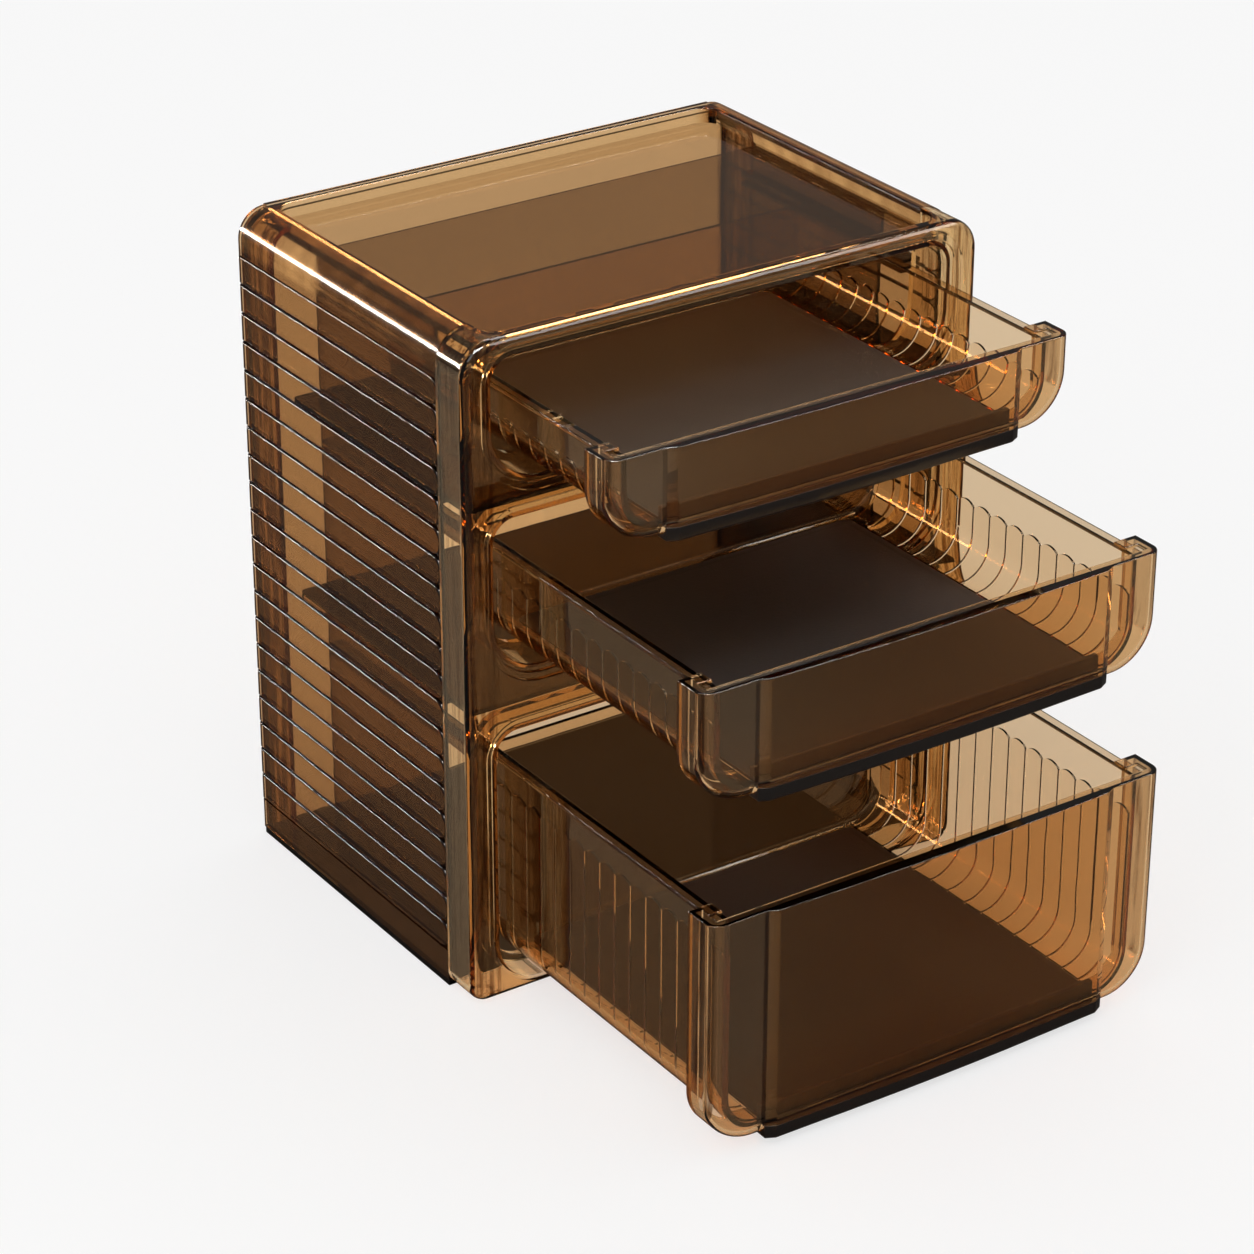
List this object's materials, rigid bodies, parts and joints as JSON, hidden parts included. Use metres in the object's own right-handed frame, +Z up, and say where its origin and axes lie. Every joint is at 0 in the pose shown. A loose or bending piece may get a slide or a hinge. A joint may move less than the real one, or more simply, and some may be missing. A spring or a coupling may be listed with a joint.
{
  "type": "lipstick organizer",
  "caption": "See-through fluted desktop organizer: a case with a recessed stacking top and wrap-fronted drawers that hang by their rims and slide out, each with a dark finger grip and liner.",
  "frame": {"origin": "middle of the case's flat underside, where it stands", "axes": "+Z up, -Y towards the drawer fronts, +X to the right seen from the front"},
  "size_m": [0.298, 0.3904, 0.35],
  "materials": {
    "amber_plastic": "clear amber-brown tint, high gloss",
    "dark_grip": "satin, near black",
    "liner": "matt dark brown-grey"
  },
  "bodies": {
    "case": {"front_frame": "amber_plastic", "left_side_panel": "amber_plastic", "right_side_panel": "amber_plastic", "top_panel": "amber_plastic", "back_panel": "amber_plastic", "base_panel": "amber_plastic", "upper_shelf": "amber_plastic", "lower_shelf": "amber_plastic", "bay_roof": "amber_plastic", "top_left_guide": "amber_plastic", "top_right_guide": "amber_plastic", "middle_left_guide": "amber_plastic", "middle_right_guide": "amber_plastic", "bottom_left_guide": "amber_plastic", "bottom_right_guide": "amber_plastic"},
    "top_drawer": {"top_tray": "amber_plastic", "top_front": "amber_plastic", "top_grip": "dark_grip", "top_liner": "liner"},
    "middle_drawer": {"middle_tray": "amber_plastic", "middle_front": "amber_plastic", "middle_grip": "dark_grip", "middle_liner": "liner"},
    "bottom_drawer": {"bottom_tray": "amber_plastic", "bottom_front": "amber_plastic", "bottom_grip": "dark_grip", "bottom_liner": "liner"}
  },
  "joints": [
    {"name": "top_drawer_slide", "type": "slide", "parent": "case", "child": "top_drawer", "axis": [0, -1, 0], "range_m": [-0.093, 0.0845]},
    {"name": "middle_drawer_slide", "type": "slide", "parent": "case", "child": "middle_drawer", "axis": [0, -1, 0], "range_m": [-0.166, 0.0115]},
    {"name": "bottom_drawer_slide", "type": "slide", "parent": "case", "child": "bottom_drawer", "axis": [0, -1, 0], "range_m": [-0.176, 0.0015]}
  ]
}
